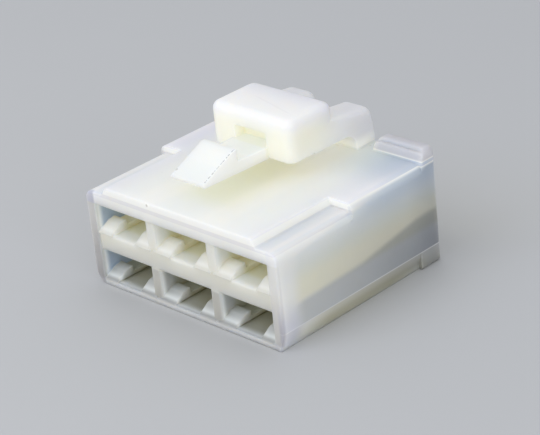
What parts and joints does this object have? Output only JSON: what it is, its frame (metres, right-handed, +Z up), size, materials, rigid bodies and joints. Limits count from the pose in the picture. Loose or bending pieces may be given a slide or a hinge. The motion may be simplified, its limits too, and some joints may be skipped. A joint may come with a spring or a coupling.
{
  "type": "receptacle terminal housing",
  "caption": "Two-row receptacle housing for flat tab terminals, with open cavities right through and a flexing latch with a press pad and hook on top.",
  "frame": {"origin": "middle of the footprint, on the underside", "axes": "+X across the width, to the right when the wire side is seen from the mating face, +Y from the mating face to the wire side, +Z up towards the latch"},
  "size_m": [0.03, 0.026, 0.02],
  "materials": {
    "natural_nylon": "uncoloured moulded nylon, milky and slightly see-through, satin"
  },
  "bodies": {
    "root": {"housing": "natural_nylon"}
  },
  "joints": []
}
